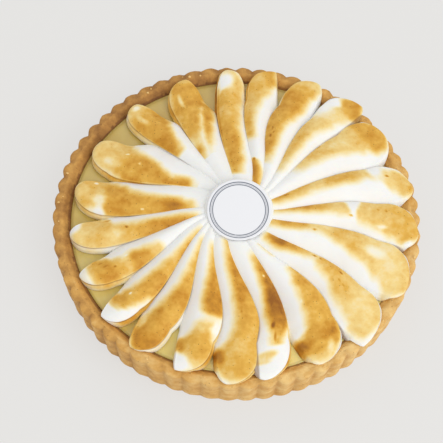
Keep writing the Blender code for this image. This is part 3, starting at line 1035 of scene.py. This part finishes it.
@dataclass(frozen=True)
class PlaqueSeat:
    """The place of the plaque: its plane, and the room that it needs in the meringue."""

    radius: float = 19.8
    thickness: float = 2.0
    centre: tuple[float, float, float] = (0.8, -2.6, 40.6)
    tilt: float = math.radians(12.0)
    play: float = 0.3

    def matrix(self) -> Matrix:
        """Return the plaque's place, in millimetres."""
        return Matrix.Translation(self.centre) @ Matrix.Rotation(self.tilt, 4, "X")

    def ceiling(self, point: Vector) -> float:
        """Return how high meringue may stand at this point, so that it stays below the plaque."""
        past = point - Vector(self.centre)
        if math.hypot(past.x, past.y) > self.radius + self.play:
            return math.inf
        return self.centre[2] + past.y * math.tan(self.tilt) - self.thickness - self.play


@dataclass(frozen=True)
class Torch:
    """How the torch's marks, and the painted highlights among the patches, are read off a stroke's bands,
    patches and wall. Lengths are millimetres.
    """

    softness: float = 4.6
    thinnest: float = 4.0
    entering: float = 1.5
    leaving: float = 2.0
    patch_core: float = 1.25
    patch_fall: float = 0.95
    patch_reach: float = 1.3
    lip_sample: float = 0.04
    lip_share: float = 0.8
    lip_width: float = 0.3
    lip_drop: float = 0.8
    wall_fade: float = 0.5
    fade_from: float = 2.0
    fade_length: float = 4.0

    def on_top(self, ring: Ring, across: float) -> float:
        """Return how far a point on top of a stroke is browned, from 0, white, to 1, dark brown."""
        tone = 0.0
        softness = self.softness / max(ring.width, self.thinnest)
        for singe in ring.bands:
            enter = ease((across - singe.low) / (self.entering * softness) + 1.0)
            leave = ease((singe.high + softness - across) / (self.leaving * softness))
            tone = max(tone, singe.tone * enter * leave)
        for mark in ring.patches:
            far_along = (ring.radius - mark.radius) / mark.length
            far_across = (across - mark.across) * ring.width / mark.breadth
            cover = ease(self.patch_core - self.patch_fall * math.hypot(far_along, far_across))
            tone = mix(tone, mark.tone, mark.strength * cover)
        return tone

    def on_wall(self, ring: Ring, below_lip: float) -> float:
        """Return how far a point of the wall is browned, a length below the lip."""
        share = ease((below_lip - self.lip_width) / self.lip_drop)
        fade = 1.0 - self.wall_fade * ease((below_lip - self.fade_from) / self.fade_length)
        return mix(self.lip_share * self.on_top(ring, self.lip_sample), ring.wall_tone * fade, share)


@dataclass(frozen=True)
class Creases:
    """Where a stroke is tucked away from the light. Lengths are millimetres."""

    crease_depth: float = 1.1
    crease_width: float = 0.5
    least_depth: float = 0.2
    crease_from: float = 35.0
    crease_over: float = 30.0
    foot_height: float = 1.3
    foot_strength: float = 0.85
    contact_width: float = 1.0
    contact_strength: float = 0.9
    contact_from: float = 30.0
    contact_over: float = 40.0

    def painted_shade(self, ring: Ring, across: float, below_lip: float, height: float) -> float:
        """Return how much painted shade a point takes: a crease under the lip, a contact line by the next
        stroke and a foot by the curd.
        """
        crease = 0.0
        if below_lip > self.least_depth:
            crease = math.exp(-(((below_lip - self.crease_depth) / self.crease_width) ** 2))
            crease *= ease((ring.radius - self.crease_from) / self.crease_over)
        foot = ease((CURD_LEVEL + self.foot_height - height) / self.foot_height)
        to_contact = (ring.contact - across) * ring.width
        contact = ease(1.0 - to_contact / self.contact_width)
        contact *= self.contact_strength * ease((ring.radius - self.contact_from) / self.contact_over)
        return held(max(crease, self.foot_strength * foot, contact))


@dataclass
class Meringue:
    """The wheel of piped strokes on the core that joins them."""

    start_radius: float = 12.0
    stations: tuple[float, float, float] = (30.0, 60.0, 88.0)
    crest_top: float = 38.0
    crest_fall: float = 5.5
    crest_fall_radius: float = 92.0
    relief_inner: float = 2.2
    relief_outer: float = 7.5
    end_length: float = 4.0
    nose_level: float = 0.5
    nose_bluntness: float = 2.2
    least_width: float = 0.5
    lip_level: float = 0.5
    wall_share: float = 0.015
    foot: float = 20.0
    tuck: float = 2.5
    parting_start: float = 70.0
    parting_length: float = 20.0
    lip_closing: float = 20.0
    edge_closing: float = 13.0
    flat_start: float = 82.0
    flat_length: float = 22.0
    flat_share: float = 0.65
    rim_inside: float = 102.6
    rim_outside: float = 107.6
    rim_top: float = 27.35
    sides: int = 76
    rings: int = 124

    # The skin's unevenness: two sizes of lumps and their heights, and where on the wall it sets in
    lump_size: float = 13.0
    lump: float = 0.4
    ripple_size: float = 5.0
    ripple: float = 0.16
    uneven_from: float = 0.25
    uneven_over: float = 0.3

    # Radius and height above the curd of the core under the strokes
    core: Outline = ((0.0, -1.0), (80.0, -1.0), (77.0, 3.5), (58.0, 7.0), (36.0, 10.5), (0.0, 12.5))
    seat: PlaqueSeat = field(default_factory=PlaqueSeat)
    torch: Torch = field(default_factory=Torch)
    creases: Creases = field(default_factory=Creases)
    finish: MeringueFinish = field(default_factory=MeringueFinish)

    # From the foot under the lip, over the lip and the domed top, down the long slope to the clockwise foot
    section = tuple(
        Spot(*values)
        for values in (
            (0.0, 0.4, 0.0, 0.0), (0.0, 1.0, 0.20, 0.1), (0.0, 1.5, 0.42, 0.25),
            (0.0, 1.6, 0.62, 0.38), (0.0, 1.2, 0.78, 0.46), (0.0, 0.5, 0.87, 0.50),
            (0.0, 0.2, 0.905, 0.50), (0.0, 0.45, 0.935, 0.50), (0.005, 0.4, 0.965, 0.49),
            (0.02, 0.1, 0.99, 0.46), (0.06, 0.0, 1.0, 0.36), (0.12, 0.0, 1.0, 0.24),
            (0.20, 0.0, 1.0, 0.12), (0.29, 0.0, 1.0, 0.04), (0.39, 0.0, 1.0, 0.0),
            (0.49, 0.0, 1.0, 0.05), (0.59, 0.0, 1.0, 0.16), (0.69, 0.0, 1.0, 0.33),
            (0.78, 0.0, 1.0, 0.52), (0.87, 0.0, 1.0, 0.74), (0.94, 0.0, 1.0, 0.95),
            (1.00, 0.0, 0.30, 0.0), (0.99, 0.0, 0.0, 0.0),
        )
    )

    def crest_height(self, radius: float) -> float:
        """Return the height of the strokes' crests at this radius."""
        return self.crest_top - self.crest_fall * (radius / self.crest_fall_radius) ** 2

    def relief(self, radius: float) -> float:
        """Return how far a stroke's long slope falls from its crest."""
        share = ease((radius - self.start_radius) / (self.stations[2] - self.start_radius))
        flat = self.flat_share * ease((radius - self.flat_start) / self.flat_length)
        return mix(self.relief_inner, self.relief_outer, share) * (1.0 - flat)

    def rim_level(self, radius: float) -> float:
        """Return how low meringue may reach at this radius, so that it lies on the crust's rim."""
        share = held((radius - self.rim_inside) / (self.rim_outside - self.rim_inside))
        return mix(self.foot, self.rim_top, share)

    def lip_angle(self, stroke: Stroke, radius: float) -> float:
        """Return the angle of the stroke's lip: a parabola through its stations, straight past the last."""
        inner, middle, outer = self.stations
        if radius > outer:
            return mix(stroke.bow, stroke.edge, (radius - middle) / (outer - middle))
        first_slope = (stroke.bow - stroke.start) / (middle - inner)
        second_slope = (stroke.edge - stroke.bow) / (outer - middle)
        bend = (second_slope - first_slope) / (outer - inner)
        past_inner = radius - inner
        return stroke.start + first_slope * past_inner + bend * past_inner * (radius - middle)

    def edges_at(self, stroke: Stroke, following: Stroke, radius: float) -> tuple[float, float]:
        """Return the angles of the stroke's lip and of its clockwise edge at this radius."""
        outer = self.stations[2]
        lip = self.lip_angle(stroke, radius)
        shared_edge = self.lip_angle(following, radius) - math.degrees(self.tuck / radius)
        free_edge = lip - stroke.span * outer / radius
        edge = mix(shared_edge, free_edge, ease((radius - self.parting_start) / self.parting_length))
        lip_open = self.openness(stroke.reach - radius, self.lip_closing)
        edge_open = self.openness(stroke.reach - radius, self.edge_closing)
        return mix(stroke.tip, lip, lip_open), mix(stroke.tip, edge, edge_open)

    @staticmethod
    def openness(left: float, closing: float) -> float:
        """Return how far a side still stands off the tip, with this length left of its round end."""
        past = held(1.0 - left / closing)
        return math.sqrt(1.0 - past * past)

    def section_at(self, place: float) -> Spot:
        """Return the cross-section's point a share of the way round, on a smooth curve through its spots."""
        last = len(self.section) - 1
        along = place * last
        index = min(int(along), last - 1)
        share = along - index
        spots = [self.section[min(max(index + step, 0), last)] for step in (-1, 0, 1, 2)]
        values = []
        for before, first, second, after in zip(*spots):
            leaving = 0.5 * (second - before)
            arriving = 0.5 * (after - first)
            cubic = 2.0 * first - 2.0 * second + leaving + arriving
            square = 3.0 * second - 3.0 * first - 2.0 * leaving - arriving
            values.append(((cubic * share + square) * share + leaving) * share + first)
        return Spot(*values)

    def ring_at(self, stroke: Stroke, following: Stroke, along: float) -> Ring:
        """Work out what holds all round a stroke at one place along it.

        Args:
            stroke: The stroke.
            following: Its clockwise neighbour.
            along: The share of the way from its start to its tip.

        Returns:
            The ring's sizes and the torched bands that cross it.
        """
        radius = mix(self.start_radius, stroke.reach, 1.0 - (1.0 - along) ** 2)
        lip, edge = self.edges_at(stroke, following, radius)
        past_end = held((radius - stroke.reach + self.end_length) / self.end_length)
        crossed = [interpolate(stations, radius) for stations in stroke.bands]
        on_wall = interpolate(stroke.wall, radius)
        reach = self.torch.patch_reach
        return Ring(
            radius=radius,
            lip=lip,
            edge=edge,
            width=max(math.radians(lip - edge) * radius, self.least_width),
            height=self.crest_height(radius) - self.foot,
            relief=self.relief(radius),
            swell=(1.0 - past_end**self.nose_bluntness) ** (1.0 / self.nose_bluntness),
            bulge=min(1.0, (stroke.reach - radius) / self.end_length),
            bands=tuple(singe for singe in crossed if singe),
            patches=tuple(mark for mark in stroke.patches if abs(radius - mark.radius) < reach * mark.length),
            wall_tone=on_wall.tone if on_wall else 0.0,
            contact=(lip - self.lip_angle(following, radius)) / max(lip - edge, 0.5),
        )

    def skin_point(self, ring: Ring, spot: Spot, rise: float, seed: float) -> Vector:
        """Return a point of a stroke's skin.

        Args:
            ring: What holds at this place along the stroke.
            spot: The point of the cross-section.
            rise: Its height above the foot, before the stroke is lifted over the rim.
            seed: The stroke's seed for its unevenness.

        Returns:
            The point, below the plaque and above the crust's rim.
        """
        angle = math.radians(mix(ring.lip, ring.edge, spot.across))
        angle += spot.bulge * ring.bulge / ring.radius
        lift = self.rim_level(ring.radius) - self.foot
        point = around(ring.radius, angle, self.foot + lift + rise * (1.0 - lift / ring.height))
        on_top = ease((rise / ring.height - self.uneven_from) / self.uneven_over)
        wobble = self.lump * grain(point, self.lump_size, seed)
        wobble += self.ripple * grain(point, self.ripple_size, seed + 3.0)
        point.z += wobble * on_top * ring.swell
        point.z = min(point.z, self.seat.ceiling(point))
        return point

    def build_stroke(
        self, stroke: Stroke, following: Stroke, material: bpy.types.Material
    ) -> bpy.types.Object:
        """Build one stroke round a sphere whose poles are its start and its tip.

        Args:
            stroke: The stroke.
            following: Its clockwise neighbour.
            material: Its finish.

        Returns:
            The finished piece.
        """
        bm = bmesh.new()
        bmesh.ops.create_uvsphere(bm, u_segments=self.sides, v_segments=self.rings, radius=1.0)
        toast = layer(bm, Attribute.TOAST)
        painted_shade = layer(bm, Attribute.PAINTED_SHADE)
        spots = [self.section_at(side / (self.sides - 1)) for side in range(self.sides)]
        rings = [self.ring_at(stroke, following, step / self.rings) for step in range(self.rings + 1)]
        pole = Spot(0.5, 0.0, self.nose_level, 0.0)
        seed = 7.0 * (ord(stroke.name) - ord("a"))
        for vert in bm.verts:
            step = round(math.acos(held(vert.co.z, -1.0, 1.0)) / math.pi * self.rings)
            side = round(math.atan2(vert.co.y, vert.co.x) / math.tau * self.sides) % self.sides
            ring = rings[step]
            spot = pole if step in (0, self.rings) else spots[side]
            middle = self.nose_level * ring.height
            rise = mix(middle, ring.height * spot.rise - ring.relief * spot.drop, ring.swell)
            lip_rise = mix(middle, ring.height - self.lip_level * ring.relief, ring.swell)
            on_wall = spot.across < self.wall_share and spot is not pole
            below_lip = lip_rise - rise if on_wall else 0.0
            vert.co = self.skin_point(ring, spot, rise, seed)
            if below_lip > 0.0:
                vert[toast] = self.torch.on_wall(ring, below_lip)
            else:
                vert[toast] = self.torch.on_top(ring, spot.across)
            vert[painted_shade] = self.creases.painted_shade(ring, spot.across, below_lip, vert.co.z)
        return serve(bm, f"stroke_{stroke.name}", material, Slot.MERINGUE)

    def build_core(self, material: bpy.types.Material) -> bpy.types.Object:
        """Build the meringue that lies under the strokes and joins them."""
        outline = [(radius, CURD_LEVEL + height) for radius, height in self.core]
        return serve(turned(divided(outline, 2.0), 180), "meringue_core", material, Slot.MERINGUE)

    def build(self) -> bpy.types.Material:
        """Build the core and every stroke.

        Returns:
            Their finish, for the mound.
        """
        material = self.finish.material()
        self.build_core(material)
        for stroke, following in zip(STROKES, STROKES[1:] + STROKES[:1]):
            if following.start > stroke.start:
                following = following.turned_back()
            self.build_stroke(stroke, following, material)
        return material


@dataclass
class Plaque:
    """The round sugar plaque, tilted on its mound, with a raised margin and a double ring."""

    seat: PlaqueSeat = field(default_factory=PlaqueSeat)
    margin: float = 1.5
    margin_rise: float = 0.35
    # Share of the plaque's radius and half the width of each printed ring, and how soft its edge is
    rings: tuple[tuple[float, float], ...] = ((0.908, 0.30), (0.865, 0.10), (0.822, 0.28))
    ink_edge: float = 0.1
    mound_radius: float = 22.0
    mound_depth: float = 9.0
    mound_lump: float = 0.3
    mound_lump_size: float = 7.0
    finish: PlaqueFinish = field(default_factory=PlaqueFinish)

    def ink_at(self, radius: float) -> float:
        """Return how much ink the double ring leaves at this radius."""
        ink = 0.0
        for share, half_width in self.rings:
            distance = abs(radius - share * self.seat.radius)
            ink = max(ink, 1.0 - ease((distance - half_width + self.ink_edge) / (2.0 * self.ink_edge)))
        return ink

    def build(self) -> bpy.types.Object:
        """Build the plaque.

        Returns:
            The finished piece.
        """
        margin_start = self.seat.radius - self.margin
        corners = (
            (0.0, -self.margin_rise, 0.0),
            (margin_start - 0.6, -self.margin_rise, 0.4),
            (margin_start + 0.1, 0.0, 0.4),
            (self.seat.radius, 0.0, 0.45),
            (self.seat.radius, -self.seat.thickness, 0.35),
            (0.0, -self.seat.thickness, 0.0),
        )
        bm = turned(divided(rounded(corners, 5), 0.2), 128)
        ink = layer(bm, Attribute.PRINT)
        for vert in bm.verts:
            on_face = vert.co.z > -self.margin_rise - 0.05
            vert[ink] = self.ink_at(math.hypot(vert.co.x, vert.co.y)) if on_face else 0.0
        bmesh.ops.transform(bm, matrix=self.seat.matrix(), verts=bm.verts)
        return serve(bm, "sugar_plaque", self.finish.material(), Slot.PLAQUE)

    def build_mound(self, material: bpy.types.Material) -> bpy.types.Object:
        """Build the low mound of meringue under the plaque, with a brim that holds the plaque."""
        top = -self.seat.thickness + 1.0
        corners = (
            (0.0, top - self.mound_depth, 0.0),
            (self.mound_radius, top - self.mound_depth, 0.5),
            (self.mound_radius - 0.2, top - 3.6, 1.0),
            (self.mound_radius - 0.7, top - 1.8, 0.6),
            (self.seat.radius + 0.6, top - 0.6, 1.0),
            (self.seat.radius - 1.0, top - 1.2, 0.5),
            (0.0, top - 1.2, 0.0),
        )
        bm = turned(divided(rounded(corners, 4), 0.8), 160)
        for vert in bm.verts:
            vert.co.z += self.mound_lump * grain(vert.co, self.mound_lump_size, 40.0)
        bmesh.ops.transform(bm, matrix=self.seat.matrix(), verts=bm.verts)
        return serve(bm, "plaque_mound", material, Slot.MERINGUE)


@dataclass
class Crumbs:
    """Crumbs of crust that lie on the rim."""

    count: int = 26
    seed: int = 11
    smallest: float = 0.35
    largest: float = 0.85
    inner_radius: float = 109.3
    outer_radius: float = 112.5
    rim_height: float = 26.6
    lumpiness: float = 0.45
    lump_size: float = 0.8
    flatness: float = 0.75
    sitting: float = 0.35
    bake_and_shade: float = 0.1

    def build(self, material: bpy.types.Material) -> bpy.types.Object:
        """Build the crumbs as one piece.

        Args:
            material: The crust's finish.

        Returns:
            The finished piece.
        """
        draw = random.Random(self.seed)
        bm = bmesh.new()
        bake_and_shade = layer(bm, Attribute.BAKE_AND_SHADE)
        for _ in range(self.count):
            size = draw.uniform(self.smallest, self.largest)
            angle = draw.uniform(-math.pi, math.pi)
            radius = draw.uniform(self.inner_radius, self.outer_radius)
            made = bmesh.ops.create_icosphere(bm, subdivisions=2, radius=size)["verts"]
            for vert in made:
                vert.co *= 1.0 + self.lumpiness * grain(vert.co, self.lump_size, 90.0 + angle)
                vert.co.z *= self.flatness
                vert[bake_and_shade] = self.bake_and_shade
            spin = Matrix.Rotation(draw.uniform(0.0, math.tau), 4, "Z")
            place = around(radius, angle, self.rim_height + self.sitting * size)
            bmesh.ops.transform(bm, matrix=Matrix.Translation(place) @ spin, verts=made)
        return serve(bm, "rim_crumbs", material, Slot.CRUST)


class SoftBox(NamedTuple):
    """A square soft light that faces the pie, in metres and watts."""

    name: str
    place: tuple[float, float, float]
    size: float
    power: float
    tint: Colour

    def hang(self) -> None:
        """Hang the light."""
        lamp = bpy.data.lights.new(self.name, "AREA")
        lamp.shape = "SQUARE"
        lamp.size = self.size
        lamp.energy = self.power
        lamp.color = self.tint
        light = bpy.data.objects.new(self.name, lamp)
        light.location = self.place
        light.rotation_euler = (-Vector(self.place)).to_track_quat("-Z", "Y").to_euler()
        bpy.context.scene.collection.objects.link(light)


@dataclass
class Studio:
    """The pale floor, the soft light and the camera. Lengths are metres but for the floor and the sensor."""

    floor_colour: Colour = from_screen(231, 230, 228)
    floor_glow: float = 0.8
    floor_reach: float = 3000.0
    sky_strength: float = 0.66
    lights: tuple[SoftBox, ...] = (
        SoftBox("key_light", (0.75, -0.7, 0.9), 1.1, 8.5, (1.0, 0.985, 0.96)),
        SoftBox("back_light", (-0.25, 0.95, 0.9), 0.9, 2.0, (0.97, 0.985, 1.0)),
    )
    elevation: float = math.radians(60.585)
    distance: float = 0.9
    focal_pixels: float = 1404.43
    frame_pixels: int = 443
    shift_right: float = 0.009575
    shift_up: float = -0.00978
    roll: float = math.radians(-3.365)
    sensor: float = 36.0

    def build_floor(self) -> None:
        """Lay the floor, which glows a little so that it stays even and pale."""
        bm = bmesh.new()
        bmesh.ops.create_grid(bm, x_segments=2, y_segments=2, size=self.floor_reach)
        material, sketch, shader = new_material("studio_floor")
        sketch.fill(
            shader,
            Base_Color=tuple((1.0 - self.floor_glow) * value for value in self.floor_colour),
            Roughness=1.0,
            Specular_IOR_Level=0.0,
            Emission_Color=self.floor_colour,
            Emission_Strength=self.floor_glow,
        )
        floor = finish_mesh(bm, "studio_floor", material)

    def build_light(self) -> None:
        """Light the set: a soft sky and two soft boxes, the stronger one at the near right."""
        world = bpy.data.worlds.new("studio_sky")
        world.use_nodes = True
        sky = world.node_tree.nodes["Background"]
        sky.inputs["Color"].default_value = (1.0, 1.0, 1.0, 1.0)
        sky.inputs["Strength"].default_value = self.sky_strength
        bpy.context.scene.world = world
        for light in self.lights:
            light.hang()

    def build_camera(self) -> None:
        """Set up the camera at the viewing angle."""
        back = Vector((0.0, -math.cos(self.elevation), math.sin(self.elevation)))
        up = Vector((0.0, math.sin(self.elevation), math.cos(self.elevation)))
        right = Vector((1.0, 0.0, 0.0))
        place = back * self.distance - right * self.shift_right - up * self.shift_up
        across = right * math.cos(self.roll) - up * math.sin(self.roll)
        upward = right * math.sin(self.roll) + up * math.cos(self.roll)
        turn = Matrix((across, upward, back)).transposed()
        lens = bpy.data.cameras.new("camera")
        lens.sensor_width = self.sensor
        lens.lens = self.sensor * self.focal_pixels / self.frame_pixels
        camera = bpy.data.objects.new("camera", lens)
        camera.matrix_world = Matrix.Translation(place) @ turn.to_4x4()
        bpy.context.scene.collection.objects.link(camera)
        bpy.context.scene.camera = camera

    def build(self) -> None:
        """Build the set."""
        self.build_floor()
        self.build_light()
        self.build_camera()
        bpy.context.scene.view_settings.view_transform = "Standard"


def main() -> None:
    """Build the pie's looks and the set, piece by piece."""
    logging.basicConfig(level=logging.INFO, format="%(message)s")
    Studio().build()
    crust = Crust().build()
    Curd().build()
    meringue_finish = Meringue().build()
    plaque = Plaque()
    plaque.build_mound(meringue_finish)
    plaque.build()
    Crumbs().build(crust.data.materials[0])


if __name__ == "__main__":
    main()
